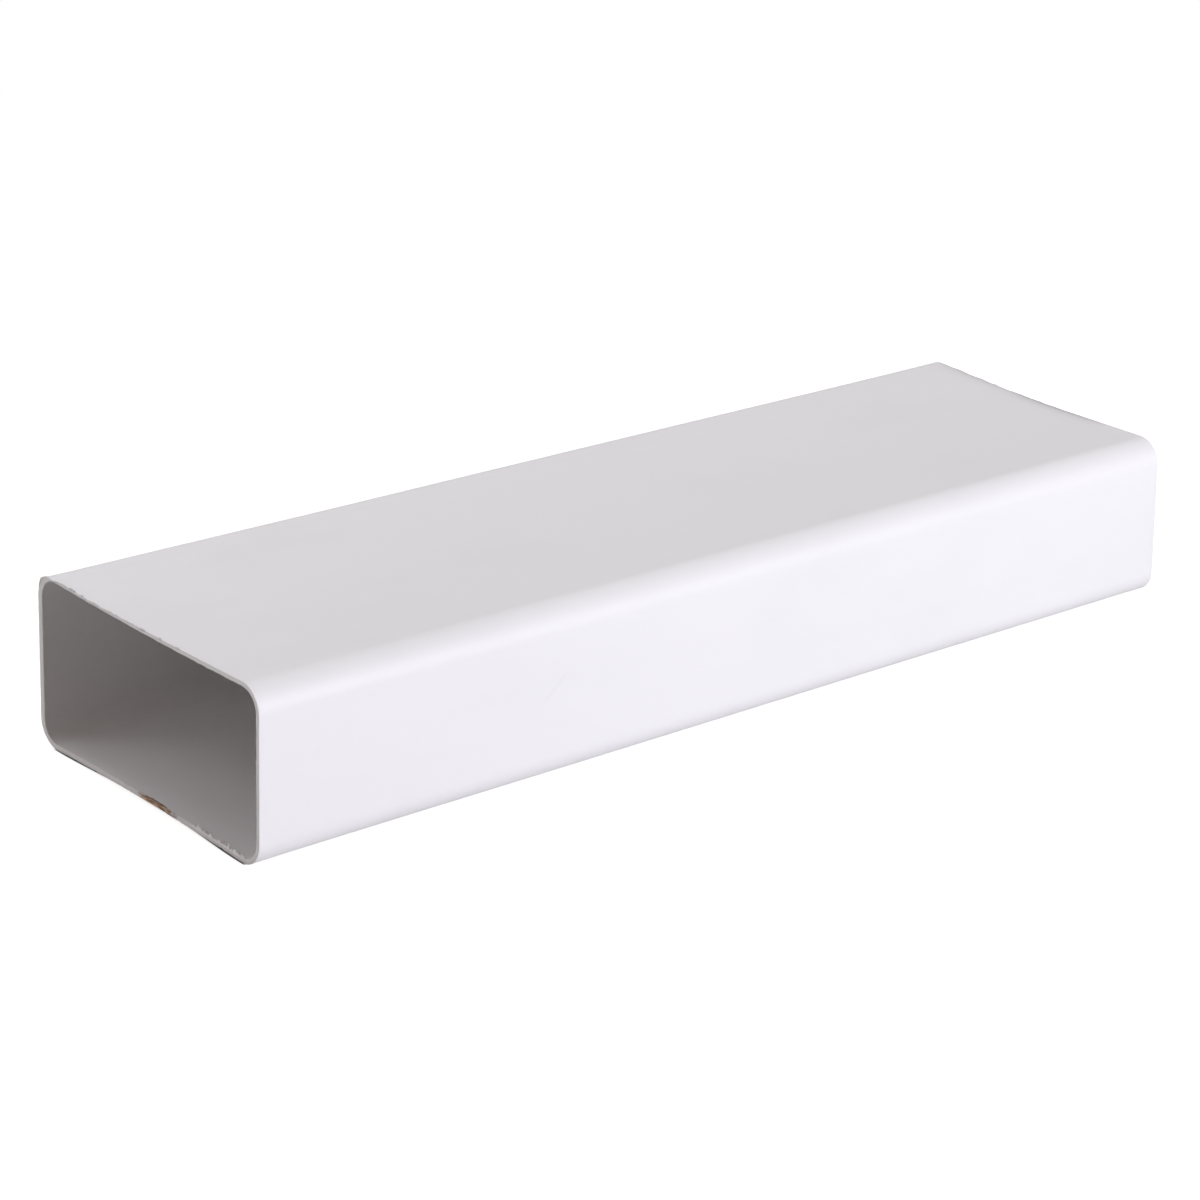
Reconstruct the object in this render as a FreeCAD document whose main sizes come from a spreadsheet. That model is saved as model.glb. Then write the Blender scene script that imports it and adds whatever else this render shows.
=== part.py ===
import FreeCAD, Part

import enum
import math
import os

import Sketcher

# Flat channel duct: one sawn length of extruded rigid PVC, open at both ends, lying on a wide wall.
# X runs along the duct, Y across its width and Z up. The origin is on the floor under its middle.
# The wall is equally thick all round. The two wide walls are drawn in a little at their middles,
# so the duct stands on its two lower corners.

# Driving dimensions in millimetres: alias, value and what it measures
DRIVING_SIZES = (
    ("outer_width", 110.0, "outside width over the two side walls"),
    ("outer_height", 54.0, "outside height over the rounded corners"),
    ("corner_radius", 8.0, "outside radius of the four long corners"),
    ("wall_thickness", 1.5, "wall, the same all round"),
    ("top_sag", 0.6, "how far the middle of the top wall lies below its corners"),
    ("bottom_rise", 1.0, "how far the middle of the bottom wall lies above its corners"),
    ("duct_length", 360.0, "length between the two sawn ends"),
)

# Compass of the section, counted anticlockwise from the +Y side
RIGHT = 0.0
UP = math.pi / 2
LEFT = math.pi
DOWN = 3 * math.pi / 2
FULL_TURN = 2 * math.pi

# A sawn end lies square to the duct: its face has less than this extent along X, in millimetres
SAWN_FLATNESS = 0.001

# Largest share by which the duct's volume may differ from its sawn end's area times its length
VOLUME_TOLERANCE = 1e-6

PARTS_FOLDER = "parts"


class Spot(enum.IntEnum):
    """Points of a sketch line or arc, as the sketcher numbers them."""

    START = 1
    END = 2
    CENTRE = 3


class Axis(enum.IntEnum):
    """The sketch's own axes, as it numbers them. The floor's start point is the origin."""

    FLOOR = -1
    MIDDLE = -2


def make_sheet(doc):
    """Put the driving sizes in a spreadsheet, one named cell each."""
    sheet = doc.addObject("Spreadsheet::Sheet", "Sizes")
    for row, (alias, value, meaning) in enumerate(DRIVING_SIZES, start=1):
        sheet.set(f"A{row}", meaning)
        sheet.set(f"B{row}", str(value))
        sheet.setAlias(f"B{row}", alias)
    doc.recompute()
    return sheet


def origin_plane(body, role):
    """Find one of the body's own origin planes by its role."""
    for feature in body.Origin.OriginFeatures:
        if feature.Role == role:
            return feature
    raise ValueError(f"{body.Label} has no origin plane {role}")


def bowed_wall(half_span, bow, corner_radius):
    """Radius of a wall's shallow arc, and how far each corner turns past square to meet it."""
    overturn = 2 * math.atan(bow / half_span)
    arc_radius = half_span / math.sin(overturn) - corner_radius
    return arc_radius, overturn


def add_arc(sketch, centre_y, centre_z, radius, start, end):
    """Add an arc of the section, running anticlockwise from start to end."""
    centre = FreeCAD.Vector(centre_y, centre_z, 0)
    circle = Part.Circle(centre, FreeCAD.Vector(0, 0, 1), radius)
    return sketch.addGeometry(Part.ArcOfCircle(circle, start, end), False)


def add_side_wall(sketch, side_y, from_z, to_z):
    """Add the outer face of one straight side wall."""
    start = FreeCAD.Vector(side_y, from_z, 0)
    end = FreeCAD.Vector(side_y, to_z, 0)
    return sketch.addGeometry(Part.LineSegment(start, end), False)


def bind(sketch, constraint, name, expression):
    """Add a dimension to the section and tie it to the spreadsheet."""
    index = sketch.addConstraint(constraint)
    sketch.renameConstraint(index, name)
    sketch.setExpression(f"Constraints.{name}", expression)


def draw_section(body, sheet):
    """Draw the outside of the section: two side walls, four corners and two bowed wide walls."""
    sketch = body.newObject("Sketcher::SketchObject", "OuterSection")
    sketch.AttachmentSupport = [(origin_plane(body, "YZ_Plane"), "")]
    sketch.MapMode = "FlatFace"

    radius = sheet.corner_radius
    side = sheet.outer_width / 2
    corner_y = side - radius
    low_z = radius
    high_z = sheet.outer_height - radius
    top_radius, top_overturn = bowed_wall(corner_y, sheet.top_sag, radius)
    bottom_radius, bottom_overturn = bowed_wall(corner_y, sheet.bottom_rise, radius)
    top_middle = sheet.outer_height - sheet.top_sag
    bottom_middle = sheet.bottom_rise

    right_wall = add_side_wall(sketch, side, low_z, high_z)
    high_right = add_arc(sketch, corner_y, high_z, radius, RIGHT, UP + top_overturn)
    top_wall = add_arc(
        sketch, 0, top_middle + top_radius, top_radius, DOWN - top_overturn, DOWN + top_overturn
    )
    high_left = add_arc(sketch, -corner_y, high_z, radius, UP - top_overturn, LEFT)
    left_wall = add_side_wall(sketch, -side, high_z, low_z)
    low_left = add_arc(sketch, -corner_y, low_z, radius, LEFT, DOWN + bottom_overturn)
    bottom_wall = add_arc(
        sketch, 0, bottom_middle - bottom_radius, bottom_radius, UP - bottom_overturn, UP + bottom_overturn
    )
    low_right = add_arc(sketch, corner_y, low_z, radius, DOWN - bottom_overturn, FULL_TURN)

    # Each stretch runs smoothly into the next, all the way round
    smooth_joins = (
        (right_wall, Spot.END, high_right, Spot.START),
        (high_right, Spot.END, top_wall, Spot.END),
        (top_wall, Spot.START, high_left, Spot.START),
        (high_left, Spot.END, left_wall, Spot.START),
        (left_wall, Spot.END, low_left, Spot.START),
        (low_left, Spot.END, bottom_wall, Spot.END),
        (bottom_wall, Spot.START, low_right, Spot.START),
        (low_right, Spot.END, right_wall, Spot.START),
    )
    for first, first_end, second, second_end in smooth_joins:
        sketch.addConstraint(Sketcher.Constraint("Tangent", first, first_end, second, second_end))

    # Upright side walls, four equal corners, and both halves alike
    sketch.addConstraint(Sketcher.Constraint("Vertical", right_wall))
    sketch.addConstraint(Sketcher.Constraint("Vertical", left_wall))
    for corner in (high_left, low_left, low_right):
        sketch.addConstraint(Sketcher.Constraint("Equal", high_right, corner))
    sketch.addConstraint(
        Sketcher.Constraint("Symmetric", high_right, Spot.CENTRE, high_left, Spot.CENTRE, Axis.MIDDLE)
    )
    sketch.addConstraint(Sketcher.Constraint("Horizontal", low_left, Spot.CENTRE, low_right, Spot.CENTRE))

    # Overall sizes, from the floor up
    bind(
        sketch,
        Sketcher.Constraint("DistanceX", left_wall, Spot.START, right_wall, Spot.END, 2 * side),
        "width",
        "Sizes.outer_width",
    )
    bind(sketch, Sketcher.Constraint("Radius", high_right, radius), "corner", "Sizes.corner_radius")
    bind(
        sketch,
        Sketcher.Constraint("DistanceY", Axis.FLOOR, Spot.START, low_right, Spot.CENTRE, low_z),
        "low_corner_centre",
        "Sizes.corner_radius",
    )
    bind(
        sketch,
        Sketcher.Constraint("DistanceY", Axis.FLOOR, Spot.START, high_right, Spot.CENTRE, high_z),
        "high_corner_centre",
        "Sizes.outer_height - Sizes.corner_radius",
    )

    # The middles of the two wide walls set how far they are drawn in
    bowed_middles = (
        (top_wall, top_middle, "top_middle", "Sizes.outer_height - Sizes.top_sag"),
        (bottom_wall, bottom_middle, "bottom_middle", "Sizes.bottom_rise"),
    )
    for wide_wall, height, name, expression in bowed_middles:
        middle = sketch.addGeometry(Part.Point(FreeCAD.Vector(0, height, 0)), True)
        sketch.addConstraint(Sketcher.Constraint("PointOnObject", middle, Spot.START, Axis.MIDDLE))
        sketch.addConstraint(Sketcher.Constraint("PointOnObject", middle, Spot.START, wide_wall))
        bind(
            sketch,
            Sketcher.Constraint("DistanceY", Axis.FLOOR, Spot.START, middle, Spot.START, height),
            name,
            expression,
        )
    return sketch


def extrude_section(body, sketch):
    """Run the section out along the duct, half to each side of the middle."""
    bar = body.newObject("PartDesign::Pad", "Extrusion")
    bar.Profile = sketch
    bar.SideType = "Symmetric"
    bar.setExpression("Length", "Sizes.duct_length")
    return bar


def sawn_ends(shape):
    """Names of the two flat end faces, which look along the duct."""
    faces = enumerate(shape.Faces, start=1)
    return [f"Face{index}" for index, face in faces if face.BoundBox.XLength < SAWN_FLATNESS]


def hollow_out(body, bar):
    """Open both ends and leave an even wall inside the section."""
    hollow = body.newObject("PartDesign::Thickness", "EvenWall")
    hollow.Base = (bar, sawn_ends(bar.Shape))
    hollow.Reversed = True
    hollow.Join = "Intersection"
    hollow.setExpression("Value", "Sizes.wall_thickness")
    return hollow


def section_area(shape):
    """Area of one sawn end."""
    return max(shape.getElement(name).Area for name in sawn_ends(shape))


def check_document(doc, body, sheet):
    """Stop if a feature failed, or if the duct is not one even-walled tube of the full length."""
    for item in doc.Objects:
        if "Invalid" in item.State or "Error" in item.State:
            raise RuntimeError(f"{item.Label} failed: {item.State}")
    shape = body.Shape
    if shape.isNull() or not shape.isValid():
        raise RuntimeError(f"{body.Label} has no valid shape")
    if len(shape.Solids) != 1:
        raise RuntimeError(f"{body.Label} has {len(shape.Solids)} solids")
    expected = section_area(shape) * sheet.duct_length
    if abs(shape.Volume - expected) > VOLUME_TOLERANCE * expected:
        raise RuntimeError(f"{body.Label} is not a tube: {shape.Volume} and {expected} mm3")


def main():
    doc = FreeCAD.newDocument("FlatChannelDuct")
    sheet = make_sheet(doc)
    body = doc.addObject("PartDesign::Body", "Duct")
    body.Label = "duct"
    sketch = draw_section(body, sheet)
    doc.recompute()
    bar = extrude_section(body, sketch)
    doc.recompute()
    hollow_out(body, bar)
    doc.recompute()
    check_document(doc, body, sheet)
    os.makedirs(PARTS_FOLDER, exist_ok=True)
    body.Shape.exportStep(os.path.join(PARTS_FOLDER, body.Label + ".step"))


main()
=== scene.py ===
"""Dresses a sawn length of white flat channel duct: extruded skin, saw cuts, burrs and a plain studio."""

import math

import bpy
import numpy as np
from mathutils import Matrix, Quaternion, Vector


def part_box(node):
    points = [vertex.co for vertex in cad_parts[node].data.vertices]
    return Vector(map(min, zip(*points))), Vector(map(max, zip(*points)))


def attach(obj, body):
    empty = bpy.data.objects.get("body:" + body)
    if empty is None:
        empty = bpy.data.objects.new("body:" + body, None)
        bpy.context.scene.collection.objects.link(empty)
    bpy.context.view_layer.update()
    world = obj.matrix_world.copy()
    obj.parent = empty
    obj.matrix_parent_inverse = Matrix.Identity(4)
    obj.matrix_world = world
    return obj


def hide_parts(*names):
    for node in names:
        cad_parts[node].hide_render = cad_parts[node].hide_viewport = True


bl_info = {
    "name": "Flat Channel Duct",
    "version": (1, 0, 0),
    "blender": (4, 5, 0),
    "location": "3D View > Sidebar > Duct",
    "description": "Builds a sawn length of white flat channel duct over its CAD frame, with a plain studio",
    "category": "Object",
}

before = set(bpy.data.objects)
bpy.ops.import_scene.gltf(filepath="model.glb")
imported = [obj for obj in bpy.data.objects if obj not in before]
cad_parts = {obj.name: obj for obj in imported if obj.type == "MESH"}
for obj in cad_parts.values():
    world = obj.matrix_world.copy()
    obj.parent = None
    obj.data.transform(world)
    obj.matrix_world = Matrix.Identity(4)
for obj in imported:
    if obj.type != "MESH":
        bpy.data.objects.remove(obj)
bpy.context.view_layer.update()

# Everything is in metres, in the CAD frame: X along the duct, Y across it, Z up from the floor
DUCT_LOW, DUCT_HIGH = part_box("duct")
DUCT_LENGTH = DUCT_HIGH.x - DUCT_LOW.x
DUCT_WIDTH = DUCT_HIGH.y - DUCT_LOW.y
DUCT_HEIGHT = DUCT_HIGH.z - DUCT_LOW.z
HALF_LENGTH = DUCT_LENGTH / 2
BODY = "root"

# The two sawn ends, by the side of the middle that they lie on
NEAR_END = -1
FAR_END = 1

# Added to an end's side, so that its edges and its burrs have random draws of their own
EDGE_DRAWS = 1
BURR_DRAWS = 7

# Compass of the section, counted anticlockwise from the +Y side
UP = math.pi / 2
LEFT = math.pi
DOWN = 3 * math.pi / 2
FULL_TURN = 2 * math.pi


class DuctSection(bpy.types.PropertyGroup):
    """Sizes of the extruded section, and how far its walls sank and drew in"""

    wall: bpy.props.FloatProperty(
        name="Wall", description="Wall thickness, the same all round",
        default=0.0015, min=0.0005, max=0.005, precision=5, unit="LENGTH",
    )
    corner_radius: bpy.props.FloatProperty(
        name="Corner Radius", description="Outside radius of the four long corners",
        default=0.008, min=0.002, max=0.02, precision=5, unit="LENGTH",
    )
    top_sag: bpy.props.FloatProperty(
        name="Top Sag", description="How far the middle of the top wall lies below its corners",
        default=0.0006, min=0.0001, max=0.003, precision=5, unit="LENGTH",
    )
    bottom_rise: bpy.props.FloatProperty(
        name="Bottom Rise", description="How far the middle of the bottom wall lies above its corners",
        default=0.001, min=0.0001, max=0.003, precision=5, unit="LENGTH",
    )
    far_sag: bpy.props.FloatProperty(
        name="Far Sag", description="How much further the top wall has sunk at the far end",
        default=0.00045, min=0.0, max=0.002, precision=5, unit="LENGTH",
    )
    waviness: bpy.props.FloatProperty(
        name="Waviness", description="How far the cooled walls draw in here and there",
        default=0.0002, min=0.0, max=0.0005, precision=6, unit="LENGTH",
    )
    outline_step: bpy.props.FloatProperty(
        name="Outline Step", description="Distance between mesh points round the section",
        default=0.00026, min=0.0002, max=0.003, precision=5, unit="LENGTH",
    )


class SawCut(bpy.types.PropertyGroup):
    """How rough the two sawn ends are"""

    wander: bpy.props.FloatProperty(
        name="Wander", description="How far the saw strayed from a flat cut",
        default=0.00012, min=0.0, max=0.001, precision=6, unit="LENGTH",
    )
    roughness: bpy.props.FloatProperty(
        name="Tooth Marks", description="Height of the marks that the teeth left across the wall",
        default=0.000035, min=0.0, max=0.0003, precision=6, unit="LENGTH",
    )
    edge_break: bpy.props.FloatProperty(
        name="Edge Break", description="Width of the worn strip along the outer edges",
        default=0.0001, min=0.00005, max=0.0006, precision=6, unit="LENGTH",
    )
    torn_reach: bpy.props.FloatProperty(
        name="Torn Reach", description="How far the skin of the top wall stands past the near cut, torn",
        default=0.00085, min=0.0, max=0.0012, precision=6, unit="LENGTH",
    )
    bore_break: bpy.props.FloatProperty(
        name="Bore Break", description="Width of the scraped strip along the inner edges",
        default=0.00026, min=0.00005, max=0.0005, precision=6, unit="LENGTH",
    )
    chip_depth: bpy.props.FloatProperty(
        name="Chip Depth", description="Depth of the largest chips out of the outer edge",
        default=0.0005, min=0.0, max=0.0009, precision=6, unit="LENGTH",
    )
    edge_flare: bpy.props.FloatProperty(
        name="Edge Flare", description="How far the cut pushed the +Y edge of the near end outwards",
        default=0.0005, min=0.0, max=0.002, precision=6, unit="LENGTH",
    )
    burr_reach: bpy.props.FloatProperty(
        name="Burr Reach", description="How far the largest burrs stand off the edge",
        default=0.0019, min=0.0, max=0.003, precision=5, unit="LENGTH",
    )
    loose_chips: bpy.props.IntProperty(
        name="Small Chips", description="Small chips scattered round each outer edge",
        default=46, min=0, max=300,
    )
    loose_burrs: bpy.props.IntProperty(
        name="Small Burrs", description="Small burrs scattered round each end",
        default=40, min=0, max=300,
    )
    seed: bpy.props.IntProperty(name="Seed", description="Changes every random mark", default=11, min=0)


class DuctFinish(bpy.types.PropertyGroup):
    """Colours and gloss of the plastic"""

    skin: bpy.props.FloatVectorProperty(
        name="Skin", description="White of the extruded surface",
        default=(0.838, 0.826, 0.828), size=3, min=0.0, max=1.0, subtype="COLOR",
    )
    skin_shade: bpy.props.FloatVectorProperty(
        name="Skin Shade", description="Slightly darker white of handled patches",
        default=(0.795, 0.784, 0.787), size=3, min=0.0, max=1.0, subtype="COLOR",
    )
    sawn: bpy.props.FloatVectorProperty(
        name="Sawn Plastic", description="Dull white of the freshly sawn wall",
        default=(0.93, 0.92, 0.912), size=3, min=0.0, max=1.0, subtype="COLOR",
    )
    # The saw's grey dirt, which also paints the shade in the chips, along the lower edge, towards the floor
    # and behind the burr
    dirt_and_shade_grey: bpy.props.FloatVectorProperty(
        name="Saw Dirt", description="Grey that the saw rubbed into its marks",
        default=(0.36, 0.35, 0.345), size=3, min=0.0, max=1.0, subtype="COLOR",
    )
    smudge: bpy.props.FloatVectorProperty(
        name="Smudge", description="Brown rub mark on the lower lip",
        default=(0.19, 0.1, 0.045), size=3, min=0.0, max=1.0, subtype="COLOR",
    )
    # The pale streaks paint a highlight where the torn lip catches light
    smudge_highlight: bpy.props.FloatVectorProperty(
        name="Smudge Streaks", description="Paler streaks in the brown rub mark",
        default=(0.74, 0.53, 0.38), size=3, min=0.0, max=1.0, subtype="COLOR",
    )
    gloss_roughness: bpy.props.FloatProperty(
        name="Skin Roughness", description="Roughness of the satin skin",
        default=0.55, min=0.0, max=1.0, subtype="FACTOR",
    )
    die_line_depth: bpy.props.FloatProperty(
        name="Die Lines", description="Depth of the fine lengthwise lines left by the die",
        default=0.000004, min=0.0, max=0.0001, precision=7, unit="LENGTH",
    )


class Studio(bpy.types.PropertyGroup):
    """Camera, light and floor"""

    turn: bpy.props.FloatProperty(
        name="Turn", description="Compass heading of the view, from +Y towards +X",
        default=math.radians(40.927), subtype="ANGLE",
    )
    tilt: bpy.props.FloatProperty(
        name="Tilt", description="How far the camera looks down",
        default=math.radians(21.367), subtype="ANGLE",
    )
    roll: bpy.props.FloatProperty(
        name="Roll", description="Turn of the camera about its own line of sight",
        default=math.radians(2.093), subtype="ANGLE",
    )
    distance: bpy.props.FloatProperty(
        name="Distance", description="From the camera to the point it looks at",
        default=1.1217, min=0.2, unit="LENGTH",
    )
    aim: bpy.props.FloatVectorProperty(
        name="Aim", description="Point that the camera looks at",
        default=(-0.0088, 0.00497, 0.02186), size=3, subtype="TRANSLATION",
    )
    lens: bpy.props.FloatProperty(
        name="Lens", description="Focal length in millimetres on a 36 mm sensor",
        default=108.364, min=10.0,
    )
    ambient: bpy.props.FloatProperty(
        name="Ambient", description="Even light from all round", default=0.089, min=0.0,
    )
    key_power: bpy.props.FloatProperty(
        name="Key Light", description="Low softbox beside the long side",
        default=18.75, min=0.0, unit="POWER",
    )
    far_power: bpy.props.FloatProperty(
        name="Far Light", description="High softbox beyond the far end",
        default=3.1, min=0.0, unit="POWER",
    )
    side_power: bpy.props.FloatProperty(
        name="Side Light", description="Softbox behind the duct",
        default=7.5, min=0.0, unit="POWER",
    )
    back_power: bpy.props.FloatProperty(
        name="Back Light", description="Softbox behind the near end",
        default=3.2, min=0.0, unit="POWER",
    )
    end_power: bpy.props.FloatProperty(
        name="End Light", description="Low softbox facing the near end",
        default=2.87, min=0.0, unit="POWER",
    )
    floor: bpy.props.FloatVectorProperty(
        name="Floor", description="Colour of the floor's paper, under its glow",
        default=(0.5, 0.5, 0.5), size=3, min=0.0, max=1.0, subtype="COLOR",
    )
    floor_glow: bpy.props.FloatProperty(
        name="Floor Glow", description="White added to the floor where the camera sees it",
        default=0.84, min=0.0,
    )


# Section and saw cut as arrays

class Outline:
    """Outside of the section as a closed run of points, anticlockwise seen from the far end."""

    def __init__(self, sizes):
        stretches = outline_stretches(sizes)
        self.points = np.concatenate([points for points, outward in stretches])
        self.outward = np.concatenate([outward for points, outward in stretches])
        following = np.roll(self.points, -1, axis=0)
        steps = np.linalg.norm(following - self.points, axis=1)
        self.length = float(steps.sum())
        self.run = np.concatenate([[0.0], np.cumsum(steps)[:-1]])

    def nearest(self, y, z):
        """Index of the point nearest to y, z."""
        return np.argmin(np.hypot(self.points[:, 0] - y, self.points[:, 1] - z))

    def run_at(self, y, z):
        """Distance along the outline of its point nearest to y, z."""
        return self.run[self.nearest(y, z)]


def bowed_wall(half_span, bow, corner_radius):
    """Radius of a wide wall's shallow arc, and how far each corner turns past square to meet it."""
    overturn = 2 * math.atan(bow / half_span)
    return half_span / math.sin(overturn) - corner_radius, overturn


def arc_points(centre, radius, start, end, step, side):
    """Points of an arc without its last one, with outward normals. Side is -1 on a wall that bows in."""
    count = math.ceil(abs(end - start) * radius / step)
    angle = np.linspace(start, end, count, endpoint=False)
    ray = np.stack([np.cos(angle), np.sin(angle)], axis=1)
    return np.array(centre) + radius * ray, side * ray


def straight_points(side_y, from_z, to_z, step):
    """Points of an upright side wall without its last one, with outward normals."""
    count = math.ceil(abs(to_z - from_z) / step)
    z = np.linspace(from_z, to_z, count, endpoint=False)
    points = np.stack([np.full(count, side_y), z], axis=1)
    outward = np.tile([math.copysign(1.0, side_y), 0.0], (count, 1))
    return points, outward


def outline_stretches(sizes):
    """The eight stretches of the outside: side walls, corners and bowed wide walls."""
    radius = sizes.corner_radius
    step = sizes.outline_step
    side = DUCT_WIDTH / 2
    corner_y = side - radius
    low_z = radius
    high_z = DUCT_HEIGHT - radius
    top_radius, top_turn = bowed_wall(corner_y, sizes.top_sag, radius)
    bottom_radius, bottom_turn = bowed_wall(corner_y, sizes.bottom_rise, radius)
    top_centre = (0, DUCT_HEIGHT - sizes.top_sag + top_radius)
    bottom_centre = (0, sizes.bottom_rise - bottom_radius)
    return (
        straight_points(side, low_z, high_z, step),
        arc_points((corner_y, high_z), radius, 0, UP + top_turn, step, 1),
        arc_points(top_centre, top_radius, DOWN + top_turn, DOWN - top_turn, step, -1),
        arc_points((-corner_y, high_z), radius, UP - top_turn, LEFT, step, 1),
        straight_points(-side, high_z, low_z, step),
        arc_points((-corner_y, low_z), radius, LEFT, DOWN + bottom_turn, step, 1),
        arc_points(bottom_centre, bottom_radius, UP + bottom_turn, UP - bottom_turn, step, -1),
        arc_points((corner_y, low_z), radius, DOWN - bottom_turn, FULL_TURN, step, 1),
    )


def wandering(outline, step, rng):
    """Smooth random curve round the closed outline, from -1 to 1, with a turn about every step."""
    fewest_turns = 4
    count = max(fewest_turns, round(outline.length / step))
    knots = rng.uniform(-1, 1, count)
    place = outline.run / outline.length * count
    first = np.floor(place).astype(int)
    share = place - first
    share = share * share * (3 - 2 * share)
    return knots[first % count] * (1 - share) + knots[(first + 1) % count] * share


def ragged(outline, steps, share, rng):
    """Factor about 1 round the outline, with a share of a random curve for each step."""
    return 1 + share * sum(wandering(outline, step, rng) for step in steps)


def bites(outline, spots):
    """Deepest of the given chips at each point. A spot is its place on the run, half width and depth."""
    half_round = outline.length / 2
    deepest = np.zeros_like(outline.run)
    for middle, half_width, depth in spots:
        offset = np.abs((outline.run - middle + half_round) % outline.length - half_round)
        share = np.clip(1 - (offset / half_width) ** 2, 0, 1)
        deepest = np.maximum(deepest, depth * np.sqrt(share))
    return deepest


# Chips that show on the near end's upper edge: place across the duct, half width and share of the depth
UPPER_EDGE_CHIPS = (
    (0.0412, 0.0016, 0.7),
    (0.0366, 0.0022, 0.9),
    (0.0309, 0.0012, 1.0),
    (0.0084, 0.0008, 0.5),
    (0.0036, 0.0008, 0.7),
    (0.0009, 0.0018, 1.0),
    (-0.0080, 0.0009, 1.0),
    (-0.0164, 0.0011, 0.8),
)

# Small chips anywhere on the edge: the ranges of their half width and share of the depth
SMALL_CHIP_WIDTHS = (0.0003, 0.0009)
SMALL_CHIP_DEPTHS = (0.08, 0.4)

# How often the saw's wander, the torn edges and the tooth marks turn round the outline, and their swing
WANDER_STEP = 0.04
WANDER_SWING = 0.5
SHIVER_STEP = 0.006
SHIVER_SHARE = 0.35
OUTER_TEAR_STEPS = (0.0035, 0.0009)
OUTER_TEAR_SHARE = 0.3
INNER_TEAR_STEPS = (0.003, 0.0009)
INNER_TEAR_SHARE = 0.35
FLARE_STEPS = (0.002,)
FLARE_SHARE = 0.15
TOOTH_STEPS = (0.0017, 0.0009)

# Between which places across the top wall the saw tore it more and more, and the far end's share of it
TORN_FROM = -0.03
TORN_TO = 0.03
FAR_TORN = 0.85

# Share of a chip's depth that goes into the wall
CHIP_DROP = 0.7

# How dirty the sawn wall is, the painted shade that darkens it towards the floor, and the painted shade in
# its chips and along its lower edge
FACE_DIRT = 0.12
FACE_SHADE_LEAN = 0.8
CHIP_SHADE = 0.45
LOWER_EDGE_SHADE = 0.65

# Grey darkening along the far end's upper edge: place across the duct, half width and strength
FAR_EDGE_DARKENING = (
    (-0.008, 0.024, 0.95),
    (0.028, 0.020, 0.5),
)
DARKENING_REACH = 0.0017

# How much further than the side wall the corner above it was pushed out
CORNER_FLARE = 1.3

# The far cut is out of square: what it leaves on at its middle, on its +Y side and on its lower side
FAR_CUT_LONGER = 0.0019
FAR_CUT_TURN = 0.00145
FAR_CUT_LEAN = 0.0014

# Where the burr on the near end's lower lip starts and stops across the duct, and its slivers
LIP_BURR_FROM = -0.0235
LIP_BURR_TO = -0.0475
LIP_BURR_COUNT = 17
LIP_BURR_REACHES = (0.25, 1.0)
LIP_BURR_LENGTHS = (0.0012, 0.0034)

# Small burrs anywhere: the ranges of their share of the reach and their length, and how far all bend in
SMALL_BURR_REACHES = (0.05, 0.18)
SMALL_BURR_LENGTHS = (0.0006, 0.0024)
BURR_BENDS = (0.1, 0.55)


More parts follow.
